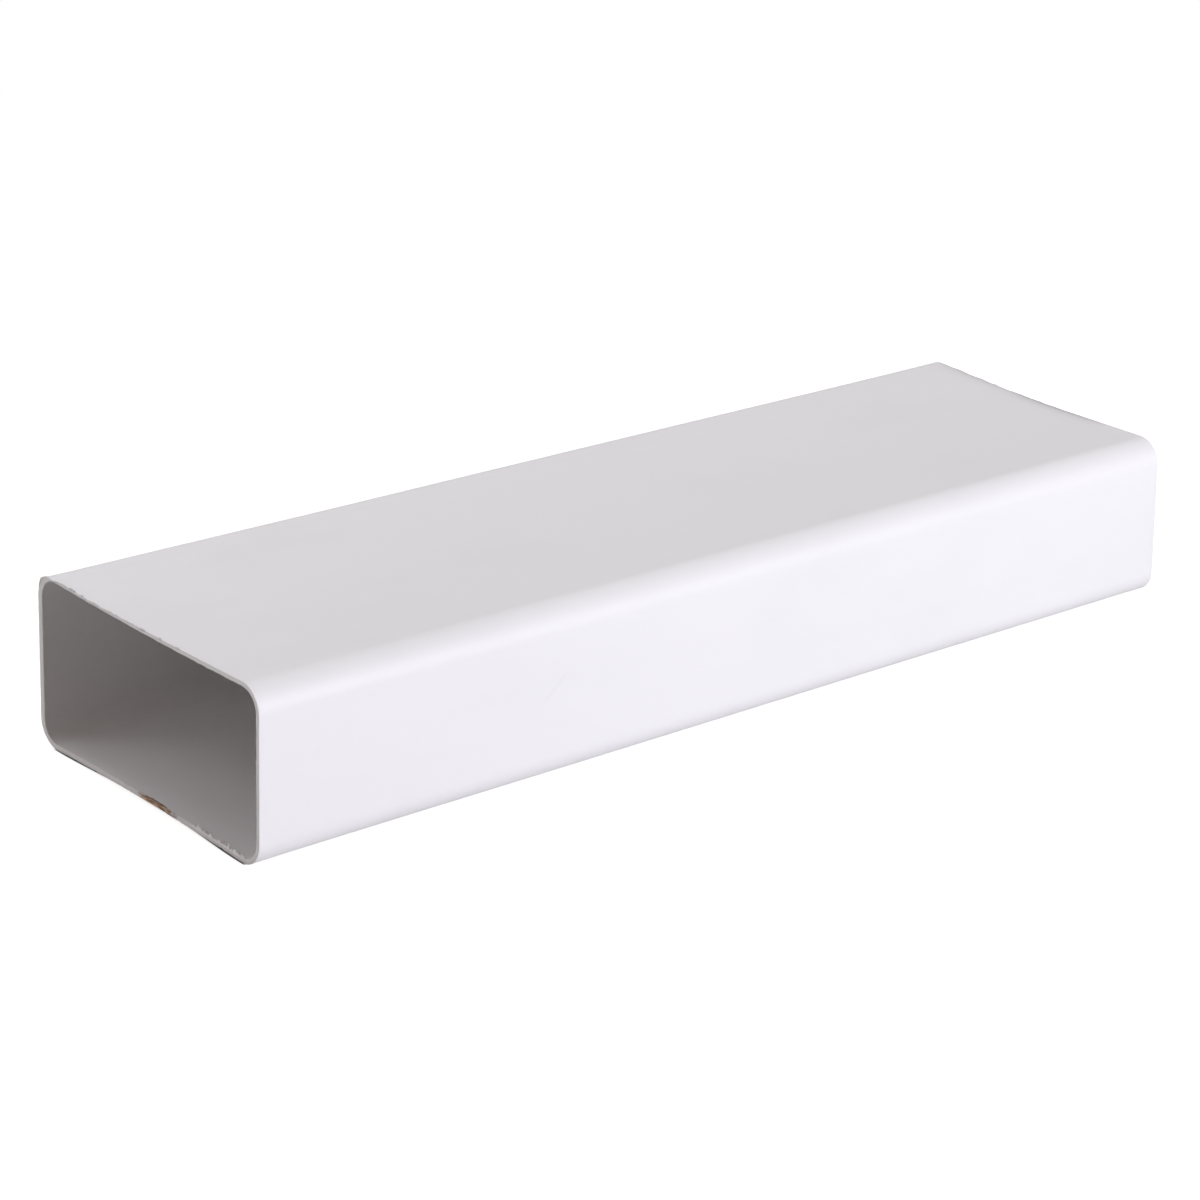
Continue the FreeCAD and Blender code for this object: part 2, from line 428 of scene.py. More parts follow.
class SawnEnd:
    """One sawn end: where its two edges and its face lie, round the outline."""

    face_shares = (0.25, 0.5, 0.75)

    def __init__(self, outline, sizes, cut, side):
        rng = np.random.default_rng([cut.seed, side + EDGE_DRAWS])
        self.outline = outline
        self.side = side
        self.wall = sizes.wall
        wander = wandering(outline, WANDER_STEP, rng) + SHIVER_SHARE * wandering(outline, SHIVER_STEP, rng)
        self.recess = cut.wander * (1 + WANDER_SWING * wander) - self.left_on()
        self.chipped = bites(outline, self.chip_spots(cut, rng))
        self.chip = cut.chip_depth * self.chipped
        self.darkened = bites(outline, self.darkening_spots())
        outer_tear = ragged(outline, OUTER_TEAR_STEPS, OUTER_TEAR_SHARE, rng)
        top_wall = np.clip(outline.outward[:, 1], 0, 1) ** 2
        torn_share = np.clip((outline.points[:, 0] - TORN_FROM) / (TORN_TO - TORN_FROM), 0, 1)
        torn = cut.torn_reach * outer_tear * top_wall * torn_share
        self.overhang = torn if side == NEAR_END else np.zeros_like(torn)
        self.outer_break = cut.edge_break * outer_tear + (FAR_TORN * torn if side == FAR_END else 0)
        self.inner_break = cut.bore_break * ragged(outline, INNER_TEAR_STEPS, INNER_TEAR_SHARE, rng)
        self.flare = self.edge_flare(cut, rng)
        self.teeth = [
            cut.roughness * sum(wandering(outline, step, rng) for step in TOOTH_STEPS)
            for share in self.face_shares
        ]

    def left_on(self):
        """Length that the cut left on past square, round the outline."""
        if self.side == NEAR_END:
            return np.zeros_like(self.outline.run)
        across = self.outline.points[:, 0] / (DUCT_WIDTH / 2)
        up = self.outline.points[:, 1] / (DUCT_HEIGHT / 2) - 1
        return FAR_CUT_LONGER + FAR_CUT_TURN * across - FAR_CUT_LEAN * up

    def chip_spots(self, cut, rng):
        """Chips out of the outer edge: the ones that show, then small ones anywhere."""
        spots = []
        if self.side == NEAR_END:
            for across, half_width, share in UPPER_EDGE_CHIPS:
                spots.append((self.outline.run_at(across, DUCT_HEIGHT), half_width, share))
        for place in rng.uniform(0, self.outline.length, cut.loose_chips):
            spots.append((place, rng.uniform(*SMALL_CHIP_WIDTHS), rng.uniform(*SMALL_CHIP_DEPTHS)))
        return spots

    def darkening_spots(self):
        """Darkening along the upper edge, which only the far end has."""
        stains = FAR_EDGE_DARKENING if self.side == FAR_END else ()
        return [(self.outline.run_at(across, DUCT_HEIGHT), *spot) for across, *spot in stains]

    def edge_flare(self, cut, rng):
        """How far the cut pushed out the outer edge: the side wall, and the corner above it squarer."""
        if self.side == FAR_END:
            return np.zeros_like(self.outline.run)
        towards_y, towards_z = np.clip(self.outline.outward, 0, 1).T
        squarer = np.clip(towards_y + towards_z - 1, 0, 1) / (math.sqrt(2) - 1)
        pushed = towards_y ** 2 + CORNER_FLARE * towards_y * squarer ** 2
        return cut.edge_flare * ragged(self.outline, FLARE_STEPS, FLARE_SHARE, rng) * pushed

    def face_dirt_and_shade(self):
        """How dark each ring across the sawn wall is: dirt, painted shade towards the floor, in the chips
        and along the lower edge, and the far edge's darkening.
        """
        upward = self.outline.outward[:, 1]
        # Dirt all over, with painted shade that darkens the wall towards the floor
        face = FACE_DIRT * (1 - FACE_SHADE_LEAN * upward)
        # Painted shade along the lower edge, where the rim meets the floor
        lower = LOWER_EDGE_SHADE * np.clip(-upward, 0, 1) ** 2
        # Painted shade in the chips, and the far edge's darkening
        edge = np.maximum.reduce([CHIP_SHADE * self.chipped, lower, self.darkened])
        return [edge, np.maximum(edge, face), *[face] * len(self.face_shares), face, face]

    def skin_darkening(self, distance):
        """Darkening on the outer skin at a distance from the end."""
        return self.darkened * math.exp(-distance / DARKENING_REACH)

    def place(self, recess, depth):
        """Points at a recess from the end and a depth into the wall, round the outline."""
        section = self.outline.points - np.reshape(depth, (-1, 1)) * self.outline.outward
        along = self.side * (HALF_LENGTH - np.broadcast_to(recess, self.outline.run.shape))
        return np.column_stack([along, section])

    def skin_edge(self):
        """Torn edge on the outer skin, as its distance from the end."""
        return self.recess - self.overhang + self.outer_break + self.chip

    def bore_edge(self):
        """Scraped edge on the inner skin, as its distance from the end."""
        return self.recess + self.inner_break

    def face_rings(self):
        """Rings across the sawn wall, from its outer edge to its inner one."""
        round_edge = 1 - math.sqrt(0.5)
        hollow_chip = 0.6
        torn_under = 0.6
        chip_drop = CHIP_DROP * self.chip - self.flare
        shoulder = self.recess - self.overhang + round_edge * self.outer_break + hollow_chip * self.chip
        face_edge = self.outer_break + torn_under * self.overhang + chip_drop
        inner_round = round_edge * self.inner_break
        rings = [
            self.place(shoulder, round_edge * self.outer_break + (1 - hollow_chip) * chip_drop),
            self.place(self.recess, face_edge),
        ]
        for share, teeth in zip(self.face_shares, self.teeth):
            depth = face_edge + share * (self.wall - self.inner_break - face_edge)
            rings.append(self.place(self.recess + teeth, depth))
        rings.append(self.place(self.recess, self.wall - self.inner_break))
        rings.append(self.place(self.recess + inner_round, self.wall - inner_round))
        return rings


def skin_distances():
    """Distances from a sawn end to the middle, close together at the end."""
    first_step = 0.0002
    growth = 1.9
    longest_step = 0.018
    distances = []
    step = first_step
    place = first_step
    while place < HALF_LENGTH - step:
        distances.append(place)
        step = min(step * growth, longest_step)
        place += step
    return distances


# The cooled walls draw in the same way at every station
WAVE_SEED = 5


def slow_waves(outline, along, amount):
    """How far the walls draw in from straight, round the outline at one place along the duct."""
    rng = np.random.default_rng(WAVE_SEED)
    waves = (2, 3, 5, 7)
    wavelengths = (0.11, 0.26)
    offset = np.zeros_like(outline.run)
    for turns in waves:
        around = rng.uniform(0, FULL_TURN)
        start = rng.uniform(0, FULL_TURN)
        wavelength = rng.uniform(*wavelengths)
        swell = math.sin(FULL_TURN * along / wavelength + start)
        offset += swell * np.sin(FULL_TURN * turns * outline.run / outline.length + around)
    return amount * (0.5 + 0.5 * offset / len(waves))


def sagged(points, sizes):
    """The points with the top wall sunk further, the more so towards the far end."""
    across = points[:, 1] / (DUCT_WIDTH / 2 - sizes.corner_radius)
    bowl = np.clip(1 - across ** 2, 0, 1) ** 2
    towards_far = 0.5 + points[:, 0] / DUCT_LENGTH
    upper = points[:, 2] > DUCT_HEIGHT / 2
    sunk = points.copy()
    sunk[:, 2] -= sizes.far_sag * bowl * towards_far * upper
    return sunk


# Meshes

# Mesh attribute: dirt that the saw left, with painted shade in the chips, along the lower edge and towards
# the floor, and the far edge's darkening, from 0 to 1
SAW_DIRT_AND_SHADE = "saw_dirt_and_shade"


def mesh_object(name, points, quads, materials, indices):
    """Make a smooth mesh object with sharp creases, in the duct's frame."""
    crease = math.radians(32)
    mesh = bpy.data.meshes.new(name)
    mesh.from_pydata(points.tolist(), [], quads.tolist())
    for material in materials:
        mesh.materials.append(material)
    mesh.polygons.foreach_set("material_index", indices)
    mesh.shade_smooth()
    mesh.set_sharp_from_angle(angle=crease)
    if mesh.validate():
        raise ValueError(f"{name} had faulty faces")
    made = bpy.data.objects.new(name, mesh)
    bpy.context.scene.collection.objects.link(made)
    return made


def tube_rings(outline, sizes, near, far):
    """Rings of the whole tube: out along the skin, over the far rim, back inside, over the near rim."""
    fade = 0.0015
    wave_fade = 0.01
    lip_share = 0.6
    lip_fade = 0.0006
    corner_fade = 0.06
    distances = skin_distances()
    stations = [(NEAR_END, distance) for distance in [0.0] + distances]
    stations += [(FAR_END, distance) for distance in distances[::-1] + [0.0]]
    ends = {NEAR_END: near, FAR_END: far}

    def skin_ring(side, distance, edge, depth):
        recess = distance + edge * math.exp(-distance / fade)
        along = side * (HALF_LENGTH - distance)
        ripple = slow_waves(outline, along, sizes.waviness) * min(1.0, distance / wave_fade)
        return ends[side].place(recess, depth + ripple)

    def outer_ring(side, distance):
        lip = lip_share * math.exp(-distance / lip_fade)
        corner = (1 - lip_share) * math.exp(-distance / corner_fade)
        return skin_ring(side, distance, ends[side].skin_edge(), -(lip + corner) * ends[side].flare)

    def inner_ring(side, distance):
        return skin_ring(side, distance, ends[side].bore_edge(), sizes.wall)

    outside = [outer_ring(side, distance) for side, distance in stations]
    inside = [inner_ring(side, distance) for side, distance in stations[::-1]]
    far_rim = far.face_rings()
    near_rim = near.face_rings()[::-1]
    rings = outside + far_rim + inside + near_rim
    clean = [np.zeros_like(outline.run)] * len(inside)
    # Dirt and painted shade of each ring, and the far edge's darkening on the skin
    near_dirt_and_shade = near.face_dirt_and_shade()
    far_dirt_and_shade = far.face_dirt_and_shade()
    skin_darkening = [ends[side].skin_darkening(distance) for side, distance in stations[1:-1]]
    dirt = [near_dirt_and_shade[0], *skin_darkening, far_dirt_and_shade[0], *far_dirt_and_shade, *clean, *near_dirt_and_shade[::-1]]
    sawn_from = {len(outside) - 1, len(outside) + len(far_rim) + len(inside) - 1}
    rim_strips = len(far_rim) + 1
    sawn = {start + strip for start in sawn_from for strip in range(rim_strips)}
    return rings, dirt, sawn


def tube_faces(ring_count, ring_size):
    """Quads between neighbouring rings, closed both ways, and the strip that each belongs to."""
    ring = np.arange(ring_count)[:, None]
    place = np.arange(ring_size)[None, :]
    next_ring = (ring + 1) % ring_count
    next_place = (place + 1) % ring_size
    quads = np.stack(
        [
            ring * ring_size + place,
            ring * ring_size + next_place,
            next_ring * ring_size + next_place,
            next_ring * ring_size + place,
        ],
        axis=-1,
    )
    strips = np.broadcast_to(ring, (ring_count, ring_size))
    return quads.reshape(-1, 4), strips.reshape(-1)


def flake(root, along, away, over, length, reach, rng):
    """Points and quads of one thin curled sliver of plastic, rooted on an edge."""
    lengthwise = 7
    outward_steps = 4
    thickness = 0.00007
    tip_thinning = 0.75
    rooted = 0.0001
    bluntness = 1.6
    fraying = (0.45, 1.0)
    most_curl = 0.5
    most_drift = 0.3
    u = np.linspace(-1, 1, lengthwise)
    envelope = (1 - np.abs(u) ** bluntness) * rng.uniform(*fraying, lengthwise)
    v = np.linspace(0, 1, outward_steps)
    curl = rng.uniform(-most_curl, most_curl)
    drift = rng.uniform(-most_drift, most_drift)
    sheets = []
    for face in (-0.5, 0.5):
        for row in v:
            spread = envelope * row * reach
            thick = face * thickness * (1 - tip_thinning * row)
            lift = curl * row * row * reach
            offset = (
                np.outer(u * length / 2 + drift * spread, along)
                + np.outer(spread - rooted * (1 - row), away)
                + np.outer(np.full(lengthwise, thick) + lift * envelope, over)
            )
            sheets.append(np.asarray(root) + offset)
    points = np.concatenate(sheets)
    quads = []
    half = outward_steps * lengthwise
    for row in range(outward_steps - 1):
        for column in range(lengthwise - 1):
            a = row * lengthwise + column
            b = a + lengthwise
            quads.append((a, a + 1, b + 1, b))
            quads.append((half + a, half + b, half + b + 1, half + a + 1))
    rim = [row * lengthwise for row in range(outward_steps)]
    rim += [(outward_steps - 1) * lengthwise + column for column in range(1, lengthwise)]
    rim += [row * lengthwise + lengthwise - 1 for row in range(outward_steps - 2, -1, -1)]
    rim += list(range(lengthwise - 2, 0, -1))
    for a, b in zip(rim, rim[1:] + rim[:1]):
        quads.append((a, b, half + b, half + a))
    return points, np.array(quads)


# Shaders

class Link:
    """A shader socket that takes part in Python arithmetic."""

    def __init__(self, graph, socket):
        self.graph = graph
        self.socket = socket

    def outlet(self, name):
        """Another output of the same node."""
        return Link(self.graph, self.socket.node.outputs[name])

    def math(self, operation, first, second):
        return self.graph.node("ShaderNodeMath", {"operation": operation}, {0: first, 1: second})

    def __add__(self, other):
        return self.math("ADD", self, other)

    def __radd__(self, other):
        return self.math("ADD", other, self)

    def __sub__(self, other):
        return self.math("SUBTRACT", self, other)

    def __rsub__(self, other):
        return self.math("SUBTRACT", other, self)

    def __mul__(self, other):
        return self.math("MULTIPLY", self, other)

    def __rmul__(self, other):
        return self.math("MULTIPLY", other, self)

    def __truediv__(self, other):
        return self.math("DIVIDE", self, other)

    def __abs__(self):
        return self.graph.node("ShaderNodeMath", {"operation": "ABSOLUTE"}, {0: self})

    def larger(self, other):
        return self.math("MAXIMUM", self, other)


class Graph:
    """Node tree that is written as expressions."""

    mix_colour_a = 6
    mix_colour_b = 7
    mix_colour_result = 2

    def __init__(self, tree):
        self.tree = tree
        tree.nodes.clear()

    def node(self, kind, settings=None, inputs=None, output=0):
        """Add a node: its settings first, then the values or links of its sockets."""
        made = self.tree.nodes.new(kind)
        for name, value in (settings or {}).items():
            setattr(made, name, value)
        for name, value in (inputs or {}).items():
            if isinstance(value, Link):
                self.tree.links.new(value.socket, made.inputs[name])
            else:
                made.inputs[name].default_value = value
        return Link(self, made.outputs[output]) if made.outputs else None

    def places(self):
        """Place on the object, in metres of the duct's frame."""
        return self.node("ShaderNodeTexCoord", output="Object")

    def noise(self, places, stretch, detail=2.0, roughness=0.5):
        """Noise from 0 to 1, with so many features to the metre along X, Y and Z."""
        stretched = self.node("ShaderNodeVectorMath", {"operation": "MULTIPLY"}, {0: places, 1: stretch})
        inputs = {"Vector": stretched, "Scale": 1.0, "Detail": detail, "Roughness": roughness}
        return self.node("ShaderNodeTexNoise", {"noise_dimensions": "3D"}, inputs)

    def rise(self, value, low, high):
        """Smooth step from 0 at low to 1 at high."""
        inputs = {"Value": value, "From Min": low, "From Max": high}
        return self.node("ShaderNodeMapRange", {"interpolation_type": "SMOOTHSTEP"}, inputs)

    def blend(self, share, first, second):
        """Mix of two colours."""
        inputs = {0: share, self.mix_colour_a: first, self.mix_colour_b: second}
        settings = {"data_type": "RGBA", "clamp_factor": True}
        return self.node("ShaderNodeMix", settings, inputs, self.mix_colour_result)

    def bump(self, height, distance):
        """Normal from a height of 0 to 1, with its full depth in metres."""
        inputs = {"Strength": 1.0, "Distance": distance, "Height": height}
        return self.node("ShaderNodeBump", inputs=inputs)

    def plastic(self, colour, roughness, normal):
        """Rigid PVC surface, written to the material's output."""
        pvc_refraction = 1.53
        inputs = {"Base Color": colour, "Roughness": roughness, "Normal": normal, "IOR": pvc_refraction}
        shader = self.node("ShaderNodeBsdfPrincipled", inputs=inputs)
        self.node("ShaderNodeOutputMaterial", inputs={"Surface": shader})


def new_material(name):
    """An empty node material and its graph."""
    material = bpy.data.materials.new(name)
    material.use_nodes = True
    return material, Graph(material.node_tree)


def opaque(colour):
    """Colour with full alpha, as colour sockets take it."""
    return (*colour, 1.0)


# Grain of the marks on the plastic, in features to the metre along X, Y and Z
HANDLED_PATCHES = (16, 22, 22)
FINE_DIE_LINES = (2.5, 1500, 1500)
BROAD_DIE_LINES = (1.0, 170, 170)
SCUFF_LINES = (38, 2300, 900)
SCUFF_PATCHES = (30, 45, 45)
CUT_SPECKS = (420, 300, 300)
# Specks of the burr's painted shadow
BURR_SHADOW_SPECKS = (600, 420, 600)
SMUDGE_GRAIN = (1500, 420, 1500)
SMUDGE_STREAKS = (1500, 170, 1500)
SAW_STROKES = (300, 90, 2600)
TORN_GRAIN = (900, 1100, 1100)

# Between which levels of its noise a mark sets in
HANDLED_LEVELS = (0.45, 0.75)
SCUFF_LINE_LEVELS = (0.64, 0.76)
SCUFF_PATCH_LEVELS = (0.5, 0.68)
# Level where the burr's painted shadow sets in
BURR_SHADOW_LEVELS = (0.48, 0.62)
# Level where the painted highlight streaks of the rub mark set in
HIGHLIGHT_STREAK_LEVELS = (0.5, 0.62)
STROKE_LEVELS = (0.5, 0.75)
TORN_LEVELS = (0.55, 0.8)

# Brown rub mark on the near end's lower lip: its middle and half width across the duct, the place
# across where its dark tail ends, and its reach into the duct
SMUDGE_ACROSS = -0.0052
SMUDGE_HALF_WIDTH = 0.0105
SMUDGE_TAIL = -0.011
SMUDGE_REACH = 0.0011

# Heights where the rub mark sets in, is full, has left the sawn wall, starts to fade and stops
SMUDGE_LOW = 0.0008
SMUDGE_FULL = 0.0014
SMUDGE_EDGE = 0.0024
SMUDGE_HIGH = 0.0042
SMUDGE_TOP = 0.006


def smudged(graph, places, parts, colour, finish):
    """The colour with the brown rub mark over it: dark streaks, and pale streaks painted as highlight where
    the torn lip catches light, along the lower lip.
    """
    fraying = 2.0
    solid_reach = 0.3
    face_highlight = 0.12
    x, y, z = parts
    inward = (x + HALF_LENGTH) / SMUDGE_REACH
    across = (y - SMUDGE_ACROSS) / SMUDGE_HALF_WIDTH
    grain = graph.noise(places, SMUDGE_GRAIN, detail=4.0, roughness=0.7)
    reach = across * across + inward * inward + fraying * (grain - 0.5)
    patch = 1 - graph.rise(reach, solid_reach, 1.0)
    on_lip = graph.rise(z, SMUDGE_LOW, SMUDGE_FULL) * (1 - graph.rise(z, SMUDGE_HIGH, SMUDGE_TOP))
    streaks = graph.noise(places, SMUDGE_STREAKS, detail=4.0, roughness=0.65)
    on_face = (1 - graph.rise(z, SMUDGE_FULL, SMUDGE_EDGE)) * graph.rise(y, SMUDGE_TAIL, SMUDGE_ACROSS)
    # Pale streaks are painted highlight where the torn lip catches light
    pale = graph.rise(streaks + face_highlight * on_face, *HIGHLIGHT_STREAK_LEVELS)
    brown = graph.blend(pale, opaque(finish.smudge), opaque(finish.smudge_highlight))
    return graph.blend(patch * on_lip, colour, brown)


# Scuff on the front wall: its two ends along and up the wall, and its half width
SCUFF_START = (-0.0808, 0.0253)
SCUFF_END = (-0.0716, 0.0336)
SCUFF_HALF_WIDTH = 0.0009


def front_scuff(graph, parts):
    """1 on the faint slanting scuff of the front wall."""
    solid_share = 0.3
    faded_share = 0.55
    wall_depth = 0.001
    x, y, z = parts
    run = Vector(SCUFF_END) - Vector(SCUFF_START)
    middle = (Vector(SCUFF_END) + Vector(SCUFF_START)) / 2
    ahead = run.normalized()
    lengthwise = abs((x - middle.x) * ahead.x + (z - middle.y) * ahead.y)
    sideways = abs((z - middle.y) * ahead.x - (x - middle.x) * ahead.y)
    on_line = 1 - graph.rise(sideways, 0.0, SCUFF_HALF_WIDTH)
    within = 1 - graph.rise(lengthwise, solid_share * run.length, faded_share * run.length)
    return on_line * within * graph.rise(-1.0 * y, 0.0, DUCT_WIDTH / 2 - wall_depth)


# Painted shadow of the burr on the inner floor: how far in from the cut and up the wall it reaches
BURR_SHADOW_REACH = 0.0026
BURR_SHADOW_HEIGHT = 0.005


def painted_burr_shadow(graph, places, parts):
    """Specks of painted shadow on the inner floor, just behind the lip's burr."""
    thick_share = 0.2
    solid_share = 0.8
    past_burr = 1.1
    x, y, z = parts
    middle = (LIP_BURR_FROM + LIP_BURR_TO) / 2
    half = abs(LIP_BURR_FROM - LIP_BURR_TO) / 2
    behind = 1 - graph.rise(x + HALF_LENGTH, thick_share * BURR_SHADOW_REACH, BURR_SHADOW_REACH)
    across = 1 - graph.rise(abs(y - middle), solid_share * half, past_burr * half)
    low = 1 - graph.rise(z, solid_share * BURR_SHADOW_HEIGHT, BURR_SHADOW_HEIGHT)
    specks = graph.noise(places, BURR_SHADOW_SPECKS, detail=3.0, roughness=0.65)
    return behind * across * low * graph.rise(specks, *BURR_SHADOW_LEVELS)


def place_parts(graph, places):
    """X, Y and Z of each place."""
    x = graph.node("ShaderNodeSeparateXYZ", inputs={0: places})
    return x, x.outlet("Y"), x.outlet("Z")


def saw_dirt_and_shade(graph):
    """Dirt and painted shade that the mesh carries."""
    return graph.node("ShaderNodeAttribute", {"attribute_name": SAW_DIRT_AND_SHADE}, output="Fac")


# How much each mark shades the skin
PATCH_SHADE = 0.4
LINE_SHADE = 0.22
SCUFF_SHADE = 0.35
FRONT_SCUFF_SHADE = 0.5

# How far the dirt of the cut reaches along the skin, and how strong it and the burr's painted shadow are
CUT_DIRT_REACH = 0.0025
CUT_DIRT = 0.06
BURR_SHADOW_STRENGTH = 0.45

# How much each mark dulls the skin, and how high or deep it is against the others
PATCH_DULL = 0.1
SCUFF_DULL = 0.16
CUT_DULL = 0.12
FINE_LINE_HEIGHT = 0.6
BROAD_LINE_HEIGHT = 0.9
SCUFF_DEPTH = 0.8


def skin_material(finish):
    """Satin white of the extruded skin: die lines, handled patches, scuffs, dirt near the cuts, and the
    burr's painted shadow behind the lip.
    """
    material, graph = new_material("white_pvc_skin")
    places = graph.places()
    parts = place_parts(graph, places)
    patches = graph.noise(places, HANDLED_PATCHES, detail=3.0, roughness=0.55)
    fine_lines = graph.noise(places, FINE_DIE_LINES)
    broad_lines = graph.noise(places, BROAD_DIE_LINES, detail=1.0)
    scuff_lines = graph.rise(graph.noise(places, SCUFF_LINES, roughness=0.6), *SCUFF_LINE_LEVELS)
    scuffs = scuff_lines * graph.rise(graph.noise(places, SCUFF_PATCHES), *SCUFF_PATCH_LEVELS)
    from_end = HALF_LENGTH - abs(parts[0])
    specks = graph.noise(places, CUT_SPECKS, detail=3.0)
    near_cut = (1 - graph.rise(from_end, 0.0, CUT_DIRT_REACH)) * specks

    shade = PATCH_SHADE * graph.rise(patches, *HANDLED_LEVELS) + LINE_SHADE * broad_lines
    shade = shade + SCUFF_SHADE * scuffs + FRONT_SCUFF_SHADE * front_scuff(graph, parts)
    colour = graph.blend(shade, opaque(finish.skin), opaque(finish.skin_shade))
    # Dirt near the cut, the burr's painted shadow, and the mesh's dirt and painted shade
    dirt = CUT_DIRT * near_cut + BURR_SHADOW_STRENGTH * painted_burr_shadow(graph, places, parts) + saw_dirt_and_shade(graph)
    colour = graph.blend(dirt, colour, opaque(finish.dirt_and_shade_grey))
    colour = smudged(graph, places, parts, colour, finish)
    dull = PATCH_DULL * (patches - 0.5) + SCUFF_DULL * scuffs + CUT_DULL * near_cut
    roughness = finish.gloss_roughness + dull
    height = FINE_LINE_HEIGHT * fine_lines + BROAD_LINE_HEIGHT * broad_lines - SCUFF_DEPTH * scuffs
    graph.plastic(colour, roughness, graph.bump(height, finish.die_line_depth))
    return material


def sawn_material(finish):
    """Dull sawn plastic: scratches along the saw's stroke, the dirt rubbed into them, and the mesh's painted
    shade on chips and towards the floor.
    """
    material, graph = new_material("sawn_pvc")
    saw_mark_depth = 0.00003
    stroke_height = 0.7
    torn_height = 0.5
    rubbed_in = 0.09
    sawn_roughness = 0.62
    torn_dull = 0.2
    places = graph.places()
    parts = place_parts(graph, places)
    strokes = graph.noise(places, SAW_STROKES, detail=3.0, roughness=0.6)
    torn = graph.noise(places, TORN_GRAIN, detail=3.0, roughness=0.6)
    rubbed = graph.rise(strokes, *STROKE_LEVELS) + graph.rise(torn, *TORN_LEVELS)
    # Rubbed-in dirt, with the mesh's painted shade in chips, towards the floor and along the lower edge
    dirt = rubbed_in * rubbed + saw_dirt_and_shade(graph)
    colour = graph.blend(dirt, opaque(finish.sawn), opaque(finish.dirt_and_shade_grey))
    colour = smudged(graph, places, parts, colour, finish)
    roughness = sawn_roughness + torn_dull * (torn - 0.5)
    height = stroke_height * strokes + torn_height * torn
    graph.plastic(colour, roughness, graph.bump(height, saw_mark_depth))
    return material


def seen_rays(graph):
    """1 for rays that show the background: seen straight, in a reflection or through glass."""
    path = graph.node("ShaderNodeLightPath", output="Is Camera Ray")
    return path.larger(path.outlet("Is Glossy Ray")).larger(path.outlet("Is Transmission Ray"))


def floor_material(studio, sizes):
    """Pale floor: a painted contact shadow right under the duct, glowing paper round it, and plain white
    further out.
    """
    material, graph = new_material("studio_floor")
    under = -0.00005
    contact = 0.00055
    corner_fade = 0.0022
    light_creep = 0.0022
    painted_contact_shade = 0.27
    white_from = 0.25
    white_to = 0.7
    x, y = place_parts(graph, graph.places())[:2]
    standing_on = DUCT_WIDTH / 2 - sizes.corner_radius
    across = y / standing_on
    raised = 1 - across * across
    beside = abs(y) - standing_on
    before = abs(x) - HALF_LENGTH
    crept = before + light_creep * raised * raised
    seen = seen_rays(graph)
    open_air = graph.rise(crept, under, contact).larger(graph.rise(beside, under, corner_fade))
    # Painted contact shadow: the paper darkens right along the duct's foot
    dark = [painted_contact_shade * channel for channel in studio.floor]
    paper_colour = graph.blend(open_air, opaque(dark), opaque(studio.floor))
    paper = graph.node("ShaderNodeBsdfDiffuse", inputs={"Color": paper_colour})
    glow = graph.node("ShaderNodeEmission", inputs={"Strength": studio.floor_glow})
    white = graph.node("ShaderNodeEmission", inputs={"Strength": 1.0})
    lit = graph.node("ShaderNodeAddShader", inputs={0: paper, 1: glow})
    near = graph.node("ShaderNodeMixShader", inputs={0: seen * open_air, 1: paper, 2: lit})
    further_out = graph.rise(beside.larger(before), white_from, white_to)
    surface = graph.node("ShaderNodeMixShader", inputs={0: seen * further_out, 1: near, 2: white})
    graph.node("ShaderNodeOutputMaterial", inputs={"Surface": surface})
    return material


# Stage

# Softboxes: their distance and size, and how far round from +X and how high each stands
SOFTBOX_DISTANCE = 1.4
SOFTBOX_SIZE = 0.8
KEY_TURN = math.radians(281)
KEY_RISE = math.radians(15)
FAR_TURN = math.radians(0)
FAR_RISE = math.radians(65)
SIDE_TURN = math.radians(90)
SIDE_RISE = math.radians(40)
BACK_TURN = math.radians(135)
BACK_RISE = math.radians(40)
END_TURN = math.radians(180)
END_RISE = math.radians(15)

# Colours of the key light, of the softboxes behind and beyond, of the end light and of the even light
COOL_LIGHT = (0.912, 0.925, 1.0)
PLAIN_LIGHT = (0.93, 0.955, 1.0)
SOFT_LIGHT = (1.0, 0.945, 0.945)
WARM_LIGHT = (1.0, 0.67, 0.54)
WHITE = (1.0, 1.0, 1.0)


def white_world(studio):
    """White all round where it is seen, and an even soft light on the duct."""
    scene = bpy.context.scene
    scene.world = bpy.data.worlds.new("studio_world")
    scene.world.use_nodes = True
    graph = Graph(scene.world.node_tree)
    even = {"Color": opaque(WARM_LIGHT), "Strength": studio.ambient}
    light = graph.node("ShaderNodeBackground", inputs=even)
    white = graph.node("ShaderNodeBackground", inputs={"Color": opaque(WHITE), "Strength": 1.0})
    surface = graph.node("ShaderNodeMixShader", inputs={0: seen_rays(graph), 1: light, 2: white})
    graph.node("ShaderNodeOutputWorld", inputs={"Surface": surface})


def around(middle, turn, rise, distance):
    """Place at a distance from the middle, so far round from +X and so high."""
    level = Vector((math.cos(turn), math.sin(turn), 0.0)) * math.cos(rise)
    return middle + distance * (level + Vector((0.0, 0.0, math.sin(rise))))


def softbox(name, place, aim, size, power, colour):
    """Square soft light."""
    lamp = bpy.data.lights.new(name, "AREA")
    lamp.shape = "SQUARE"
    lamp.size = size
    lamp.energy = power
    lamp.color = colour
    box = bpy.data.objects.new(name, lamp)
    box.location = place
    box.rotation_mode = "QUATERNION"
    box.rotation_quaternion = (aim - place).to_track_quat("-Z", "Y")
    bpy.context.scene.collection.objects.link(box)


